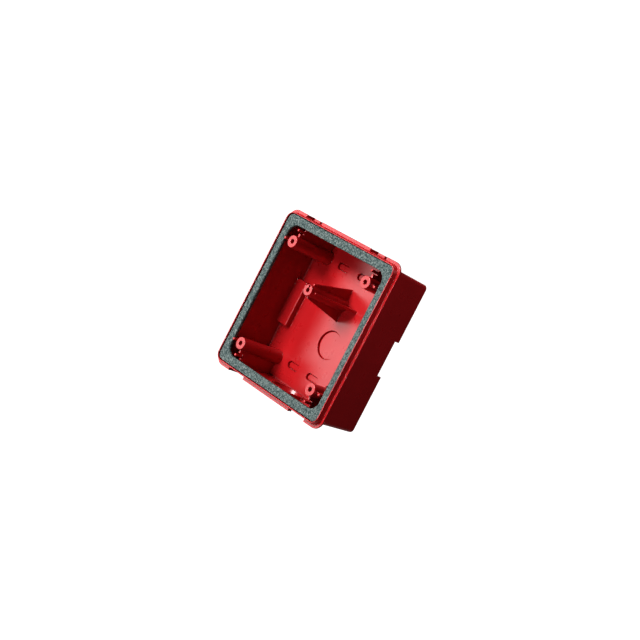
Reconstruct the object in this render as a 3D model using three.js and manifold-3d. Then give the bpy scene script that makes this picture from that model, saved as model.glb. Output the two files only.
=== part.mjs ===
// Surface back box for a wall-mounted alarm sounder and strobe, in millimetres, +Z up.
// The wall face lies in the plane Y = 0 and the open front looks along -Y.
// The origin is the middle of the wall face.
import * as THREE from 'three';
import * as BufferGeometryUtils from 'three/addons/utils/BufferGeometryUtils.js';
import Module from 'manifold-3d';

const wasm = await Module();
wasm.setup();

// ---- Driving dimensions ----------------------------------------------------------------

// Lip: a bead around the front of the box, with a thin rim standing on it.
const BOX_DEPTH = 43;
const LIP = { halfWidth: 63.7, halfHeight: 65.1, radius: 8 };
const LIP_THICKNESS = 1.5;
const RIM = { halfWidth: 61.8, halfHeight: 62.7, radius: 6.5 };
const RIM_HEIGHT = 4;
const RIM_WALL = 1.4;

// Body: walls with moulding draft, and rounded edges around the wall face.
const BODY_BACK = { halfWidth: 59, halfHeight: 59.2, radius: 3 };
const WALL = 2.3;
const BACK_WALL = 2.5;
const DRAFT = Math.tan(THREE.MathUtils.degToRad(2));
const REAR_EDGE_RADIUS = 2;
const CAVITY_FILLET = 1.2;
const CAVITY_CORNER_RADIUS = 3;

// Foam gasket lying in the rim, a little below its edge.
const GASKET_RECESS = 1;
const GASKET_THICKNESS = 2.9;
const GASKET_CLEARANCE = 0.3;
const GASKET_INNER = { halfWidth: 54, halfHeight: 54.4, radius: 8 };

// Screw posts for the device: one in each corner and one near the middle.
const POST_PROUD = 0.8;
const CORNER_POST = { offset: 42.4, tipRadius: 4.75, baseRadius: 5.6, boreRadius: 1.75 };
const CENTRE_POST = { x: -4.8, z: 17.2, tipRadius: 4.3, baseRadius: 4.9, boreRadius: 1.6 };
const BORE_DEPTH = 26;
const RELIEF_HOLE = { radius: 0.85, offset: 2.9 };
const RIB = 1.8;
const RIB_STEP = 3.4;
const RIB_SHOULDER = 7.4;
const RIB_DROP = 7.3;
const NIB = { radius: 1.05, offset: 9.4, proud: 0.4 };
const GUSSET = { tipReach: 5.8, baseReachX: 15, baseReachZ: 13.4 };

// Side pockets: notches in the rear edge, with their backs raised inside the box.
const POCKET = { halfHeight: 13.8, depth: 5.5, innerX: 47.6 };
const POCKET_BLOCK = { halfHeight: 18.2, innerX: 45.5, floor: 2, edgeRadius: 1 };

// Latch notches in the top and bottom of the lip. Webs stand behind the ends of each notch,
// and a catch stands behind the middle of each upper one. Reaches are from the front of the lip.
const LATCH = { x: 37, width: 18, depth: 2.1 };
const LATCH_WEB = { thickness: 1.5, deepReach: 9.5, shallowReach: 3.6, crest: 64.9 };
const LATCH_CATCH = { width: 7, near: 3.3, far: 6.1, crest: 64.8 };

// Openings and knock-outs.
const BACK_KNOCKOUT = { x: 0, z: -13.7, radius: 11.1 };
const SLOT_KNOCKOUT = { pitchX: 23, z: 41.65, halfLength: 6.3, halfWidth: 2.5 };
const KNOCKOUT_GAP = 0.3;
const KNOCKOUT_SINK = 1.4;
const KNOCKOUT_FLARE = 0.1;
const KNOCKOUT_SET_BACK = 0.2;
const CONDUIT_HOLE = { x: 0, y: -21.2, radius: 11.4 };
const CONDUIT_COLLAR = { radius: 13.9, throatRadius: 12.6, topZ: -55.4 };

const OVERRUN = 2;
const CORNER_SEGMENTS = 7;
const POST_SEGMENTS = 32;
const BORE_SEGMENTS = 20;
const ROUND_SEGMENTS = 56;

const FRONT_Y = -BOX_DEPTH;
const LIP_FRONT_Y = FRONT_Y + RIM_HEIGHT;
const LIP_REAR_Y = LIP_FRONT_Y + LIP_THICKNESS;
const POST_FRONT_Y = FRONT_Y - POST_PROUD;
const BACK_INSIDE_Y = -BACK_WALL;
const KNOCKOUT_FRONT_Y = BACK_INSIDE_Y + KNOCKOUT_SINK;

// ---- Materials -------------------------------------------------------------------------

const redPlastic = new THREE.MeshStandardMaterial({ color: 0xc01820, roughness: 0.38, metalness: 0 });
const greyFoam = new THREE.MeshStandardMaterial({ color: 0x6a6d6d, roughness: 0.95, metalness: 0 });

// ---- Solids ----------------------------------------------------------------------------

function solid(geometry) {
  const bare = geometry.clone();
  bare.deleteAttribute('normal');
  bare.deleteAttribute('uv');
  const merged = BufferGeometryUtils.mergeVertices(bare, 1e-4);
  const mesh = new wasm.Mesh({
    numProp: 3,
    vertProperties: new Float32Array(merged.attributes.position.array),
    triVerts: new Uint32Array(merged.index.array),
  });
  return new wasm.Manifold(mesh);
}

function namedMesh(name, shape, material) {
  const data = shape.getMesh();
  const geometry = new THREE.BufferGeometry();
  geometry.setAttribute('position', new THREE.BufferAttribute(data.vertProperties, 3));
  geometry.setIndex(new THREE.BufferAttribute(data.triVerts, 1));
  geometry.computeVertexNormals();
  const mesh = new THREE.Mesh(geometry, material);
  mesh.name = name;
  return mesh;
}

function union(shapes) {
  return shapes.reduce((whole, shape) => whole.add(shape));
}

function block(xRange, yRange, zRange) {
  const size = [xRange, yRange, zRange].map(([low, high]) => high - low);
  const middle = [xRange, yRange, zRange].map(([low, high]) => (high + low) / 2);
  return solid(new THREE.BoxGeometry(...size).translate(...middle));
}

// A round bar along Y, with its own radius at each end.
function barAlongY(x, z, frontY, rearY, frontRadius, rearRadius, segments) {
  const bar = new THREE.CylinderGeometry(rearRadius, frontRadius, rearY - frontY, segments);
  return solid(bar.translate(x, (frontY + rearY) / 2, z));
}

// Points around a rectangle with round corners, anticlockwise in X and Z.
function roundedOutline({ halfWidth, halfHeight, radius }) {
  const points = [];
  const centres = [[1, 1], [-1, 1], [-1, -1], [1, -1]];
  centres.forEach(([sideX, sideZ], quarter) => {
    for (let step = 0; step <= CORNER_SEGMENTS; step += 1) {
      const angle = (quarter + step / CORNER_SEGMENTS) * Math.PI / 2;
      const x = sideX * (halfWidth - radius) + radius * Math.cos(angle);
      const z = sideZ * (halfHeight - radius) + radius * Math.sin(angle);
      points.push(new THREE.Vector2(x, z));
    }
  });
  return points;
}

// A solid through matching outlines, listed from front to back as {y, outline}.
function loft(sections) {
  const count = sections[0].outline.length;
  const positions = sections.flatMap(({ y, outline }) => outline.flatMap((point) => [point.x, y, point.y]));
  const indices = [];
  for (let ring = 0; ring + 1 < sections.length; ring += 1) {
    for (let step = 0; step < count; step += 1) {
      const next = (step + 1) % count;
      const [a, b] = [ring * count + step, ring * count + next];
      const [c, d] = [b + count, a + count];
      indices.push(a, c, b, a, d, c);
    }
  }
  const lastRing = (sections.length - 1) * count;
  THREE.ShapeUtils.triangulateShape(sections[0].outline, []).forEach(([a, b, c]) => {
    indices.push(a, b, c, lastRing + a, lastRing + c, lastRing + b);
  });
  const geometry = new THREE.BufferGeometry();
  geometry.setAttribute('position', new THREE.Float32BufferAttribute(positions, 3));
  geometry.setIndex(indices);
  return solid(geometry);
}

function roundedPlate(size, frontY, rearY) {
  const outline = roundedOutline(size);
  return loft([{ y: frontY, outline }, { y: rearY, outline }]);
}

function grown({ halfWidth, halfHeight, radius }, by) {
  return { halfWidth: halfWidth + by, halfHeight: halfHeight + by, radius: radius + by };
}

// ---- Box -------------------------------------------------------------------------------

// The drafted block that the walls are cut from, with a rounded edge at the back.
function drafted(backSize, backY, frontY, edgeRadius) {
  const outlineAt = (y, inset) => {
    const spread = (backY - y) * DRAFT - inset;
    const size = grown(backSize, spread);
    size.radius = backSize.radius;
    return { y, outline: roundedOutline(size) };
  };
  const sections = [outlineAt(frontY, 0)];
  const edgeSteps = 4;
  for (let step = 0; step <= edgeSteps; step += 1) {
    const angle = step / edgeSteps * Math.PI / 2;
    const y = backY - edgeRadius * (1 - Math.sin(angle));
    sections.push(outlineAt(y, edgeRadius * (1 - Math.cos(angle))));
  }
  return loft(sections);
}

function bodyBlock() {
  return drafted(BODY_BACK, 0, LIP_REAR_Y - 0.5, REAR_EDGE_RADIUS);
}

function cavityBlock() {
  const size = grown(BODY_BACK, -WALL);
  size.radius = CAVITY_CORNER_RADIUS;
  return drafted(size, BACK_INSIDE_Y, LIP_FRONT_Y - OVERRUN, CAVITY_FILLET);
}

function gasketSeat() {
  return roundedPlate(grown(RIM, -RIM_WALL), FRONT_Y - OVERRUN, LIP_FRONT_Y);
}

function openShell() {
  const lip = roundedPlate(LIP, LIP_FRONT_Y, LIP_REAR_Y);
  const rim = roundedPlate(RIM, FRONT_Y, LIP_FRONT_Y + 0.5);
  return union([bodyBlock(), lip, rim]).subtract(cavityBlock()).subtract(gasketSeat());
}

// ---- Posts -----------------------------------------------------------------------------

function postBar({ tipRadius, baseRadius }, x, z) {
  return barAlongY(x, z, POST_FRONT_Y, BACK_INSIDE_Y + 1, tipRadius, baseRadius, POST_SEGMENTS);
}

function postBore({ boreRadius }, x, z) {
  const frontY = POST_FRONT_Y - OVERRUN;
  return barAlongY(x, z, frontY, POST_FRONT_Y + BORE_DEPTH, boreRadius, boreRadius, BORE_SEGMENTS);
}

// A rib from a corner post to the wall beside it: high next to the post, lower under the gasket.
function cornerRib(x, z, alongX) {
  const reach = BODY_BACK.halfWidth - WALL / 2;
  const outward = Math.sign(alongX ? x : z);
  const start = alongX ? x : z;
  const across = alongX ? [z - RIB / 2, z + RIB / 2] : [x - RIB / 2, x + RIB / 2];
  const stretch = (to, frontY) => {
    const along = [start, to].sort((low, high) => low - high);
    const yRange = [frontY, BACK_INSIDE_Y + 1];
    return alongX ? block(along, yRange, across) : block(across, yRange, along);
  };
  const shoulder = stretch(start + outward * RIB_SHOULDER, POST_FRONT_Y + RIB_STEP);
  return shoulder.add(stretch(outward * reach, POST_FRONT_Y + RIB_DROP));
}

// A small upright pin on a corner rib, which keeps the gasket's inner edge in place.
function gasketNib(x, z) {
  const frontY = FRONT_Y - NIB.proud;
  return barAlongY(x, z, frontY, POST_FRONT_Y + RIB_DROP + 1, NIB.radius, NIB.radius, 16);
}

function cornerPost(sideX, sideZ) {
  const x = sideX * CORNER_POST.offset;
  const z = sideZ * CORNER_POST.offset;
  return union([
    postBar(CORNER_POST, x, z),
    cornerRib(x, z, true),
    cornerRib(x, z, false),
    gasketNib(x + sideX * NIB.offset, z),
    gasketNib(x, z + sideZ * NIB.offset),
  ]);
}

// A tapered gusset plate through the centre post, wider at the back wall.
function gussetPlate(baseReach) {
  const outline = new THREE.Shape([
    new THREE.Vector2(-GUSSET.tipReach, POST_FRONT_Y + RIB_STEP),
    new THREE.Vector2(GUSSET.tipReach, POST_FRONT_Y + RIB_STEP),
    new THREE.Vector2(baseReach, BACK_INSIDE_Y + 1),
    new THREE.Vector2(-baseReach, BACK_INSIDE_Y + 1),
  ]);
  const plate = new THREE.ExtrudeGeometry(outline, { depth: RIB, bevelEnabled: false });
  return plate.translate(0, 0, -RIB / 2);
}

function centrePost() {
  const flat = gussetPlate(GUSSET.baseReachX);
  const upright = gussetPlate(GUSSET.baseReachZ).rotateY(Math.PI / 2);
  return union([
    postBar(CENTRE_POST, CENTRE_POST.x, CENTRE_POST.z),
    solid(flat.translate(CENTRE_POST.x, 0, CENTRE_POST.z)),
    solid(upright.translate(CENTRE_POST.x, 0, CENTRE_POST.z)),
  ]);
}

function reliefHole() {
  const z = CENTRE_POST.z + RELIEF_HOLE.offset;
  const { radius } = RELIEF_HOLE;
  return barAlongY(CENTRE_POST.x, z, POST_FRONT_Y - OVERRUN, POST_FRONT_Y + 5, radius, radius, 12);
}

// ---- Pockets, notches and openings -----------------------------------------------------

function acrossX(side, from, to) {
  return [side * from, side * to].sort((low, high) => low - high);
}

// The raised back of a pocket, with its long edge inside the box rounded.
function pocketBlock(side) {
  const { halfHeight, floor, edgeRadius } = POCKET_BLOCK;
  const innerX = side * POCKET_BLOCK.innerX;
  const outerX = side * (BODY_BACK.halfWidth - WALL / 2);
  const frontY = -POCKET.depth - floor;
  const outline = new THREE.Shape();
  outline.moveTo(outerX, BACK_INSIDE_Y + 1);
  outline.lineTo(outerX, frontY);
  outline.lineTo(innerX + side * edgeRadius, frontY);
  outline.quadraticCurveTo(innerX, frontY, innerX, frontY + edgeRadius);
  outline.lineTo(innerX, BACK_INSIDE_Y + 1);
  const options = { depth: 2 * halfHeight, bevelEnabled: false, curveSegments: 5 };
  return solid(new THREE.ExtrudeGeometry(outline, options).translate(0, 0, -halfHeight));
}

function pocket(side) {
  const xRange = acrossX(side, POCKET.innerX, LIP.halfWidth + OVERRUN);
  return block(xRange, [-POCKET.depth, OVERRUN], [-POCKET.halfHeight, POCKET.halfHeight]);
}

function latchNotch(sideX, sideZ) {
  const x = sideX * LATCH.x;
  const zRange = [LIP.halfHeight - LATCH.depth, LIP.halfHeight + OVERRUN].map((z) => sideZ * z);
  const yRange = [LIP_FRONT_Y - OVERRUN, LIP_REAR_Y + OVERRUN];
  return block([x - LATCH.width / 2, x + LATCH.width / 2], yRange, zRange.sort((low, high) => low - high));
}

// A block standing on the top or bottom wall, behind the lip.
function behindLip(x, width, fromY, toY, crest, sideZ) {
  const zRange = [BODY_BACK.halfHeight - 0.5, crest].map((z) => sideZ * z);
  return block([x - width / 2, x + width / 2], [fromY, toY], zRange.sort((low, high) => low - high));
}

// The webs behind the two ends of a notch. At the bottom the inner one is shallow.
function latchWebs(sideX, sideZ) {
  const { thickness, deepReach, shallowReach, crest } = LATCH_WEB;
  const offset = LATCH.width / 2 + thickness / 2;
  return [-1, 1].map((end) => {
    const reach = sideZ < 0 && end < 0 ? shallowReach : deepReach;
    const x = sideX * (LATCH.x + end * offset);
    return behindLip(x, thickness, LIP_REAR_Y - 0.5, LIP_FRONT_Y + reach, crest, sideZ);
  });
}

function latchCatch(sideX) {
  const { width, near, far, crest } = LATCH_CATCH;
  return behindLip(sideX * LATCH.x, width, LIP_FRONT_Y + near, LIP_FRONT_Y + far, crest, 1);
}

// A round bar along Z at the conduit hole, with its own radius at each end.
function conduitBar(bottomRadius, topRadius, bottomZ, topZ) {
  const bar = new THREE.CylinderGeometry(topRadius, bottomRadius, topZ - bottomZ, ROUND_SEGMENTS);
  bar.rotateX(Math.PI / 2);
  return solid(bar.translate(CONDUIT_HOLE.x, CONDUIT_HOLE.y, (bottomZ + topZ) / 2));
}

function conduitCollar() {
  const { radius, topZ } = CONDUIT_COLLAR;
  return conduitBar(radius, radius, -BODY_BACK.halfHeight + WALL / 2, topZ);
}

// The hole through the bottom wall, and the throat in the collar that widens upwards from it.
function conduitHole() {
  const { throatRadius, topZ } = CONDUIT_COLLAR;
  const { radius } = CONDUIT_HOLE;
  const throat = conduitBar(radius, throatRadius, -BODY_BACK.halfHeight, topZ);
  const above = conduitBar(throatRadius, throatRadius, topZ - 0.01, topZ + OVERRUN);
  return conduitBar(radius, radius, -LIP.halfHeight, -BODY_BACK.halfHeight + 0.01).add(throat).add(above);
}

// ---- Knock-outs ------------------------------------------------------------------------

function slotOutline(centreX, centreZ) {
  return (by) => {
    const { halfLength, halfWidth } = SLOT_KNOCKOUT;
    const radius = halfWidth + by - 0.01;
    const size = { halfWidth: halfLength + by, halfHeight: halfWidth + by, radius };
    return roundedOutline(size).map((point) => point.add(new THREE.Vector2(centreX, centreZ)));
  };
}

function roundOutline({ x, z, radius }) {
  return (by) => new THREE.EllipseCurve(x, z, radius + by, radius + by)
    .getPoints(ROUND_SEGMENTS)
    .slice(0, ROUND_SEGMENTS);
}

const knockouts = [{ name: 'round_knockout', outlineOf: roundOutline(BACK_KNOCKOUT) }];
[['upper', 1], ['lower', -1]].forEach(([row, sideZ]) => {
  [['left', -1], ['middle', 0], ['right', 1]].forEach(([column, step]) => {
    const outlineOf = slotOutline(step * SLOT_KNOCKOUT.pitchX, sideZ * SLOT_KNOCKOUT.z);
    knockouts.push({ name: `slot_knockout_${row}_${column}`, outlineOf });
  });
});

// The hole around a plug, which flares from the plug's inner face to the inside of the wall.
function knockoutHole({ outlineOf }) {
  const narrow = outlineOf(KNOCKOUT_GAP / 2);
  const wide = outlineOf(KNOCKOUT_GAP / 2 + KNOCKOUT_FLARE);
  return loft([
    { y: BACK_INSIDE_Y - OVERRUN, outline: wide },
    { y: BACK_INSIDE_Y, outline: wide },
    { y: KNOCKOUT_FRONT_Y, outline: narrow },
    { y: OVERRUN, outline: narrow },
  ]);
}

function knockoutPlug({ outlineOf }) {
  const outline = outlineOf(-KNOCKOUT_GAP / 2);
  return loft([{ y: KNOCKOUT_FRONT_Y, outline }, { y: -KNOCKOUT_SET_BACK, outline }]);
}

// ---- Assembly --------------------------------------------------------------------------

const CORNERS = [[-1, 1], [1, 1], [-1, -1], [1, -1]];

function backBox() {
  const added = [
    ...CORNERS.map(([sideX, sideZ]) => cornerPost(sideX, sideZ)),
    centrePost(),
    ...[-1, 1].map(pocketBlock),
    ...CORNERS.flatMap(([sideX, sideZ]) => latchWebs(sideX, sideZ)),
    ...[-1, 1].map(latchCatch),
    conduitCollar(),
  ];
  const removed = [
    ...CORNERS.map(([sideX, sideZ]) => {
      return postBore(CORNER_POST, sideX * CORNER_POST.offset, sideZ * CORNER_POST.offset);
    }),
    postBore(CENTRE_POST, CENTRE_POST.x, CENTRE_POST.z),
    reliefHole(),
    ...[-1, 1].map(pocket),
    ...CORNERS.map(([sideX, sideZ]) => latchNotch(sideX, sideZ)),
    ...knockouts.map(knockoutHole),
    conduitHole(),
  ];
  return removed.reduce((whole, shape) => whole.subtract(shape), openShell().add(union(added)));
}

function foamGasket() {
  const frontY = FRONT_Y + GASKET_RECESS;
  const rearY = frontY + GASKET_THICKNESS;
  const ring = roundedPlate(grown(RIM, -RIM_WALL - GASKET_CLEARANCE), frontY, rearY);
  return ring.subtract(roundedPlate(GASKET_INNER, frontY - OVERRUN, rearY + OVERRUN));
}

const assembly = new THREE.Group();
assembly.add(namedMesh('back_box', backBox(), redPlastic));
assembly.add(namedMesh('foam_gasket', foamGasket(), greyFoam));
knockouts.forEach((knockout) => {
  assembly.add(namedMesh(knockout.name, knockoutPlug(knockout), redPlastic));
});

export default assembly;
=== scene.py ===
import math

import bmesh
import bpy
from mathutils import Matrix, Vector, noise


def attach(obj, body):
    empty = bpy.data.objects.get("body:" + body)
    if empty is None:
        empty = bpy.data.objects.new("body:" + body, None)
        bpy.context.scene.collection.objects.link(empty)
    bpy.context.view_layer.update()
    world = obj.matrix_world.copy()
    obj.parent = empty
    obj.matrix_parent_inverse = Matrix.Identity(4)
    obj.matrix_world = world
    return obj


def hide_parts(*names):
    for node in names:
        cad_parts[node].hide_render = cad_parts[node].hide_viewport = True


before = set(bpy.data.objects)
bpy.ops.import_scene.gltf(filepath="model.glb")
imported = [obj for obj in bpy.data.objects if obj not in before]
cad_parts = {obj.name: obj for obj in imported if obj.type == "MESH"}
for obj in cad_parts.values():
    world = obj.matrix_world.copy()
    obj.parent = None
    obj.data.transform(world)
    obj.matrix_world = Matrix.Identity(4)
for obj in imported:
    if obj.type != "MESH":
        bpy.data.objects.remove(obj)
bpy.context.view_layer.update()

MM = 0.001


# ---- Materials --------------------------------------------------------------------------

def new_material(name):
    material = bpy.data.materials.new(name)
    material.use_nodes = True
    tree = material.node_tree
    return material, tree, tree.nodes["Principled BSDF"]


def add_noise(tree, scale, detail=3.0, roughness=0.5):
    coordinates = tree.nodes.get("Texture Coordinate") or tree.nodes.new("ShaderNodeTexCoord")
    texture = tree.nodes.new("ShaderNodeTexNoise")
    texture.inputs["Scale"].default_value = scale
    texture.inputs["Detail"].default_value = detail
    texture.inputs["Roughness"].default_value = roughness
    tree.links.new(coordinates.outputs["Object"], texture.inputs["Vector"])
    return texture.outputs["Fac"]


def add_ramp(tree, value, stops):
    ramp = tree.nodes.new("ShaderNodeValToRGB")
    elements = ramp.color_ramp.elements
    while len(elements) < len(stops):
        elements.new(0.5)
    for element, (position, colour) in zip(elements, stops):
        element.position = position
        element.color = (*colour, 1)
    tree.links.new(value, ramp.inputs["Fac"])
    return ramp.outputs["Color"]


def add_range(tree, value, low, high):
    mapped = tree.nodes.new("ShaderNodeMapRange")
    mapped.inputs["From Min"].default_value = 0.2
    mapped.inputs["From Max"].default_value = 0.8
    mapped.inputs["To Min"].default_value = low
    mapped.inputs["To Max"].default_value = high
    tree.links.new(value, mapped.inputs["Value"])
    return mapped.outputs["Result"]


def add_bump(tree, shader, height, distance, strength=1.0):
    bump = tree.nodes.new("ShaderNodeBump")
    bump.inputs["Distance"].default_value = distance
    bump.inputs["Strength"].default_value = strength
    tree.links.new(height, bump.inputs["Height"])
    tree.links.new(bump.outputs["Normal"], shader.inputs["Normal"])


# Moulded red plastic: a faint mottle in the colour, uneven gloss, and a fine moulded grain.
def red_plastic(name, dark, light, low_roughness, high_roughness):
    material, tree, shader = new_material(name)
    mottle = add_noise(tree, 45, detail=4)
    tree.links.new(add_ramp(tree, mottle, [(0.2, dark), (0.8, light)]), shader.inputs["Base Color"])
    gloss = add_range(tree, add_noise(tree, 120, detail=5), low_roughness, high_roughness)
    tree.links.new(gloss, shader.inputs["Roughness"])
    add_bump(tree, shader, add_noise(tree, 2600, detail=2), 0.01 * MM, 0.5)
    shader.inputs["IOR"].default_value = 1.53
    return material


# Closed-cell foam: dark grey with pale and dark specks, and open pores.
def grey_foam():
    material, tree, shader = new_material("grey_foam")
    speckle = add_noise(tree, 900, detail=6, roughness=0.75)
    colour = add_ramp(tree, speckle, [
        (0.38, (0.015, 0.030, 0.031)),
        (0.5, (0.078, 0.108, 0.104)),
        (0.62, (0.22, 0.25, 0.24)),
    ])
    tree.links.new(colour, shader.inputs["Base Color"])
    shader.inputs["Roughness"].default_value = 0.95
    shader.inputs["Specular IOR Level"].default_value = 0.2
    add_bump(tree, shader, speckle, 0.3 * MM, 0.8)
    return material


RED = red_plastic("red_plastic", (0.37, 0.009, 0.012), (0.44, 0.012, 0.016), 0.26, 0.31)
# The edge plastic is painted a little lighter than the open faces, as a painted highlight along the
# moulded edges. It is also glossier.
RED_EDGE_HIGHLIGHT = red_plastic("red_plastic_edge_highlight", (0.40, 0.012, 0.016), (0.47, 0.018, 0.022), 0.14, 0.22)
# The corner plastic is painted darker than the open faces, as painted shade in the narrow inside
# corners. It is also rougher, which dulls their shine.
RED_CORNER_SHADE = red_plastic("red_plastic_corner_shade", (0.30, 0.008, 0.011), (0.36, 0.010, 0.014), 0.6, 0.75)
FOAM = grey_foam()


# ---- Pieces -----------------------------------------------------------------------------

# Places of the edge plastic, painted lighter as a painted highlight, and of the corner plastic,
# painted darker as painted shade, among a moulded piece's materials.
EDGE_HIGHLIGHT_MATERIAL = 1
CORNER_SHADE_MATERIAL = 2

# Moulded radii on the box and on the knock-outs, and how much of them an inside edge gets.
BOX_EDGE_RADIUS = 0.25 * MM
PLUG_EDGE_RADIUS = 0.12 * MM
CONCAVE_PART = 0.7
SHARP_ANGLE = math.radians(38)
FLAT_ANGLE = math.radians(0.6)
WELD_DISTANCE = 0.002 * MM

# How far the rear of a plug grows, where that rear begins, and how much more its front shrinks.
PLUG_WIDEN = 0.33 * MM
PLUG_MIDDLE_Y = -0.6 * MM
GROOVE_PART = 1.2

# The part of the back wall that has the knock-out holes in it.
HOLE_REACH = 46 * MM
HOLE_FRONT_Y = -3.3 * MM

# Long flat faces are split at this height, which is clear of every hole and post.
SPLIT_Z = -1.0 * MM

# The rim, and how far its front edge leans in.
RIM_HALF_WIDTH = 61.8 * MM
RIM_HALF_HEIGHT = 62.7 * MM
RIM_RADIUS = 6.5 * MM
RIM_WALL = 1.4 * MM
RIM_FRONT_Y = -42.9 * MM
RIM_LEAN = 0.6 * MM

# The rounded corner round the inside of the back wall.
CORNER_REACH = 50 * MM
CORNER_FRONT_Y = -3.8 * MM
CORNER_REAR_Y = -2.4 * MM


# Moves the rear outline of a plug outwards in X and Z, so that it meets the hole around it there,
# and its front outline inwards, so that a clear groove shows in front.
def widened(corners, by):
    low = [min(corner[axis] for corner in corners) for axis in (0, 2)]
    high = [max(corner[axis] for corner in corners) for axis in (0, 2)]
    middle_x = (low[0] + high[0]) / 2
    middle_z = (low[1] + high[1]) / 2
    straight = max(0.0, (high[0] - low[0] - high[1] + low[1]) / 2)
    moved = []
    for corner in corners:
        near_x = middle_x + max(-straight, min(straight, corner.x - middle_x))
        outwards = corner - Vector((near_x, corner.y, middle_z))
        change = by if corner.y > PLUG_MIDDLE_Y else -by * GROOVE_PART
        moved.append(corner + outwards.normalized() * change)
    return moved


# Leans the outer side of the rim in towards the front, as a moulding's draft does.
def lean_rim(work):
    for corner in work.verts:
        across = abs(corner.co.x) - RIM_HALF_WIDTH + RIM_RADIUS
        upwards = abs(corner.co.z) - RIM_HALF_HEIGHT + RIM_RADIUS
        outside = math.hypot(max(across, 0), max(upwards, 0)) + min(max(across, upwards), 0)
        if corner.co.y < RIM_FRONT_Y and outside > RIM_RADIUS - RIM_WALL / 2:
            corner.co.x *= 1 - RIM_LEAN / RIM_HALF_WIDTH
            corner.co.z *= 1 - RIM_LEAN / RIM_HALF_HEIGHT


# Marks where the moulded radii go: on every sharp edge, except that the edges of the knock-out
# holes are left crisp.
def mark_edges(work, crisp_holes):
    weight = work.edges.layers.float.new("bevel_weight_edge")
    for edge in work.edges:
        if len(edge.link_faces) == 2 and edge.calc_face_angle() > SHARP_ANGLE:
            middle = (edge.verts[0].co + edge.verts[1].co) / 2
            near_middle = max(abs(middle.x), abs(middle.z)) < HOLE_REACH
            in_wall = near_middle and middle.y > HOLE_FRONT_Y
            crisp = crisp_holes and edge.is_convex and in_wall
            edge[weight] = 1.0 if edge.is_convex else CONCAVE_PART
            if crisp:
                edge[weight] = 0.0
                edge.smooth = False


# True on the narrow rounded corner between the walls and the back wall, inside the box, where the
# darker corner plastic paints shade.
def in_cavity_corner(face):
    middle = face.calc_center_median()
    far_out = max(abs(middle.x), abs(middle.z)) > CORNER_REACH
    at_back = CORNER_FRONT_Y < middle.y < CORNER_REAR_Y
    slanted = 0.05 < abs(face.normal.y) < 0.995
    return far_out and at_back and slanted


# A copy of a CAD node with its flat facets merged, small moulded radii on its edges, and smooth
# shading.
def moulded(name, node, radius, widen=0.0, crisp_holes=False):
    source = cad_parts[node].data
    corners = widened([vertex.co.copy() for vertex in source.vertices], widen)
    mesh = bpy.data.meshes.new(name)
    mesh.from_pydata(corners, [], [list(face.vertices) for face in source.polygons])
    for material in (RED, RED_EDGE_HIGHLIGHT, RED_CORNER_SHADE):
        mesh.materials.append(material)
    work = bmesh.new()
    work.from_mesh(mesh)
    bmesh.ops.remove_doubles(work, verts=work.verts, dist=WELD_DISTANCE)
    bmesh.ops.dissolve_limit(work, angle_limit=FLAT_ANGLE, verts=work.verts, edges=work.edges)
    everything = work.verts[:] + work.edges[:] + work.faces[:]
    bmesh.ops.bisect_plane(work, geom=everything, plane_co=(0, 0, SPLIT_Z), plane_no=(0, 0, 1))
    bmesh.ops.triangulate(work, faces=[face for face in work.faces if len(face.verts) > 4])
    for face in work.faces:
        # Faces in the inside corners take the corner plastic, painted darker as painted shade.
        face.material_index = CORNER_SHADE_MATERIAL if in_cavity_corner(face) else 0
        face.smooth = True
    mark_edges(work, crisp_holes)
    lean_rim(work)
    work.to_mesh(mesh)
    work.free()
    piece = bpy.data.objects.new(name, mesh)
    bpy.context.scene.collection.objects.link(piece)
    bevel = piece.modifiers.new("moulded_edges", "BEVEL")
    bevel.width = radius
    bevel.segments = 2
    bevel.limit_method = "WEIGHT"
    bevel.use_clamp_overlap = False
    # The faces of the radii take the edge plastic, with its painted highlight.
    bevel.material = EDGE_HIGHLIGHT_MATERIAL
    bevel.face_strength_mode = "FSTR_ALL"
    weighted = piece.modifiers.new("flat_faces", "WEIGHTED_NORMAL")
    weighted.mode = "FACE_AREA"
    weighted.weight = 100
    weighted.keep_sharp = True
    weighted.use_face_influence = True
    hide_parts(node)
    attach(piece, "root")
    return piece


box_piece = moulded("moulded_back_box", "back_box", BOX_EDGE_RADIUS, crisp_holes=True)

for node in sorted(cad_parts):
    if "knockout" in node:
        plug = moulded(node.replace("knockout", "plug"), node, PLUG_EDGE_RADIUS, widen=PLUG_WIDEN)


# Foam gasket: a strip with rounded edges, swept round the rim's seat, with an uneven cut surface.
# Half width, half height and corner radius of its outlines, and its depths, are in millimetres.
GASKET_OUTER = (60.1, 61.0, 4.8)
GASKET_INNER = (54.0, 54.4, 8.0)
GASKET_FRONT_Y = -42.0
GASKET_EDGE = ((0.975, 0.16), (1.0, 0.55), (1.0, 2.4), (0.975, 2.9))
ROUNDED_PART = 0.09
CORNER_STEPS = 16
SIDE_STEPS = 130
WIDTH_STEPS = 12

# The cut surface covers this much of the front, sits this deep, and is uneven at two scales.
CUT_REACH = 0.6
CUT_DEPTH = 0.12
COARSE_SCALE = 0.55
COARSE_DEPTH = 0.16
FINE_SCALE = 1.7
FINE_DEPTH = 0.14


def round_rectangle(half_width, half_height, radius):
    points = []
    for quarter, (side_x, side_z) in enumerate(((1, 1), (-1, 1), (-1, -1), (1, -1))):
        for step in range(CORNER_STEPS + 1):
            angle = (quarter + step / CORNER_STEPS) * math.pi / 2
            x = side_x * (half_width - radius) + radius * math.cos(angle)
            z = side_z * (half_height - radius) + radius * math.sin(angle)
            points.append((x, z))
    outline = []
    for index, (x, z) in enumerate(points):
        outline.append((x, z))
        if index % (CORNER_STEPS + 1) == CORNER_STEPS:
            next_x, next_z = points[(index + 1) % len(points)]
            for step in range(1, SIDE_STEPS):
                part = step / SIDE_STEPS
                outline.append((x + (next_x - x) * part, z + (next_z - z) * part))
    return outline


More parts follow.
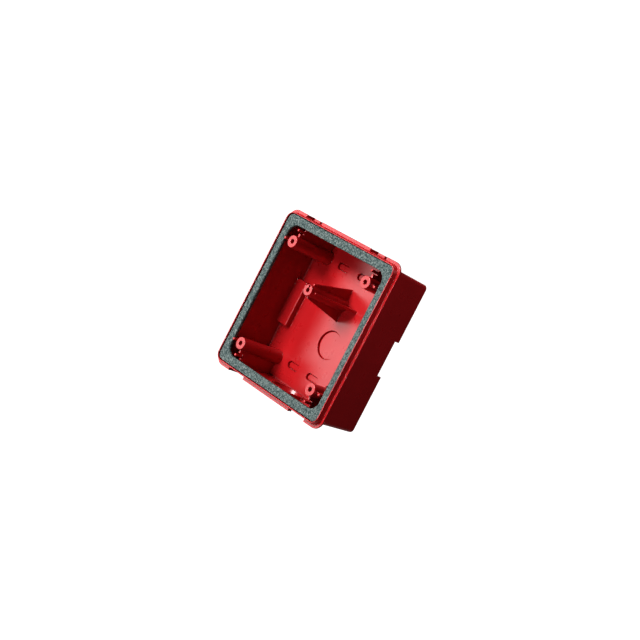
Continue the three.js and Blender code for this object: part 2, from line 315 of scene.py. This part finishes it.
# The strip's cross-section as (part of the way from inner to outer edge, depth from the front).
def gasket_profile():
    profile = []
    for step in range(WIDTH_STEPS + 1):
        profile.append((ROUNDED_PART + (1 - 2 * ROUNDED_PART) * step / WIDTH_STEPS, 0.0))
    profile.extend(GASKET_EDGE)
    profile.extend((1 - across, depth) for across, depth in reversed(GASKET_EDGE))
    return profile


def foam_strip():
    inner = round_rectangle(*GASKET_INNER)
    outer = round_rectangle(*GASKET_OUTER)
    profile = gasket_profile()
    corners = []
    for (inner_x, inner_z), (outer_x, outer_z) in zip(inner, outer):
        for across, depth in profile:
            x = inner_x + (outer_x - inner_x) * across
            z = inner_z + (outer_z - inner_z) * across
            place = Vector((x, GASKET_FRONT_Y + depth, z))
            if depth < CUT_REACH:
                coarse = noise.noise(place * COARSE_SCALE)
                fine = noise.noise(place * FINE_SCALE)
                place.y += max(0.0, CUT_DEPTH + COARSE_DEPTH * coarse + FINE_DEPTH * fine)
            corners.append(place * MM)
    count, width = len(inner), len(profile)
    faces = []
    for ring in range(count):
        following = (ring + 1) % count
        for step in range(width):
            beside = (step + 1) % width
            faces.append((
                ring * width + step,
                following * width + step,
                following * width + beside,
                ring * width + beside,
            ))
    mesh = bpy.data.meshes.new("foam_strip")
    mesh.from_pydata(corners, [], faces)
    mesh.materials.append(FOAM)
    work = bmesh.new()
    work.from_mesh(mesh)
    bmesh.ops.recalc_face_normals(work, faces=work.faces)
    for face in work.faces:
        face.smooth = True
    work.to_mesh(mesh)
    work.free()
    strip = bpy.data.objects.new("foam_strip", mesh)
    bpy.context.scene.collection.objects.link(strip)
    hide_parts("foam_gasket")
    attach(strip, "root")
    return strip


foam_strip()


# ---- Camera, stage and light ------------------------------------------------------------

CAMERA_PLACE = Vector((764.2, -804.4, 83.4)) * MM
CAMERA_AIM = Vector((9.7, -33.1, 2.05)) * MM
CAMERA_ROLL = math.radians(27.16)
CAMERA_LENS = 84.4

camera = bpy.data.objects.new("camera", bpy.data.cameras.new("camera"))
camera.data.lens = CAMERA_LENS
camera.data.sensor_width = 36
turn = (CAMERA_AIM - CAMERA_PLACE).to_track_quat("-Z", "Y").to_matrix().to_4x4()
camera.matrix_world = Matrix.Translation(CAMERA_PLACE) @ turn @ Matrix.Rotation(CAMERA_ROLL, 4, "Z")
bpy.context.scene.collection.objects.link(camera)
bpy.context.scene.camera = camera


def area_light(name, direction, distance, width, height, radiance):
    light = bpy.data.lights.new(name, "AREA")
    light.shape = "RECTANGLE"
    light.size = width
    light.size_y = height
    light.energy = radiance * math.pi * width * height
    lamp = bpy.data.objects.new(name, light)
    lamp.location = Vector(direction).normalized() * distance
    lamp.rotation_euler = (-lamp.location).to_track_quat("-Z", "Y").to_euler()
    bpy.context.scene.collection.objects.link(lamp)


# Name, direction from the box, distance, width and height in metres, and radiance.
area_light("front_softbox", (-0.18, -0.915, 0.38), 1.3, 0.55, 0.33, 32.0)
area_light("front_strip", (0.02, -0.99, -0.06), 1.3, 0.30, 0.20, 28.0)
area_light("left_softbox", (-0.72, -0.68, -0.05), 1.6, 0.75, 0.9, 3.5)
area_light("left_rear_card", (-0.87, 0.50, 0.0), 1.6, 1.8, 0.9, 1.1)
area_light("top_card", (-0.2, 0.15, 1.0), 1.2, 0.8, 0.8, 1.2)
area_light("rear_softbox", (-0.4, 1.0, 0.12), 1.6, 0.9, 1.0, 2.0)
area_light("right_card", (0.75, 0.0, 0.65), 0.5, 0.25, 0.25, 2.6)

# A plain pale floor, well below the box.
FLOOR_Z = -1.3
FLOOR_REACH = 2.5
floor_mesh = bpy.data.meshes.new("floor")
floor_mesh.from_pydata(
    [(x * FLOOR_REACH, y * FLOOR_REACH, FLOOR_Z) for x, y in ((-1, -1), (1, -1), (1, 1), (-1, 1))],
    [], [(0, 1, 2, 3)])
floor = bpy.data.objects.new("floor", floor_mesh)
bpy.context.scene.collection.objects.link(floor)

pale, pale_tree, pale_shader = new_material("pale_floor")
pale_shader.inputs["Base Color"].default_value = (0.85, 0.85, 0.85, 1)
pale_shader.inputs["Roughness"].default_value = 0.8

# The floor shows as plain white, and lights the box as a pale surface.
pale_white = pale_tree.nodes.new("ShaderNodeEmission")
pale_path = pale_tree.nodes.new("ShaderNodeLightPath")
pale_mix = pale_tree.nodes.new("ShaderNodeMixShader")
pale_tree.links.new(pale_path.outputs["Is Camera Ray"], pale_mix.inputs["Fac"])
pale_tree.links.new(pale_shader.outputs["BSDF"], pale_mix.inputs[1])
pale_tree.links.new(pale_white.outputs["Emission"], pale_mix.inputs[2])
pale_tree.links.new(pale_mix.outputs["Shader"], pale_tree.nodes["Material Output"].inputs["Surface"])
floor_mesh.materials.append(pale)

# The surroundings show as white, and give only a faint fill light.
world = bpy.data.worlds.new("studio")
world.use_nodes = True
bpy.context.scene.world = world
nodes = world.node_tree.nodes
links = world.node_tree.links
fill = nodes["Background"]
fill.inputs["Color"].default_value = (1, 1, 1, 1)
fill.inputs["Strength"].default_value = 0.026
white = nodes.new("ShaderNodeBackground")
white.inputs["Color"].default_value = (1, 1, 1, 1)
white.inputs["Strength"].default_value = 1.0
path = nodes.new("ShaderNodeLightPath")
mix = nodes.new("ShaderNodeMixShader")
links.new(path.outputs["Is Camera Ray"], mix.inputs["Fac"])
links.new(fill.outputs["Background"], mix.inputs[1])
links.new(white.outputs["Background"], mix.inputs[2])
links.new(mix.outputs["Shader"], nodes["World Output"].inputs["Surface"])

view = bpy.context.scene.view_settings
view.view_transform = "Standard"
view.look = "Medium High Contrast"
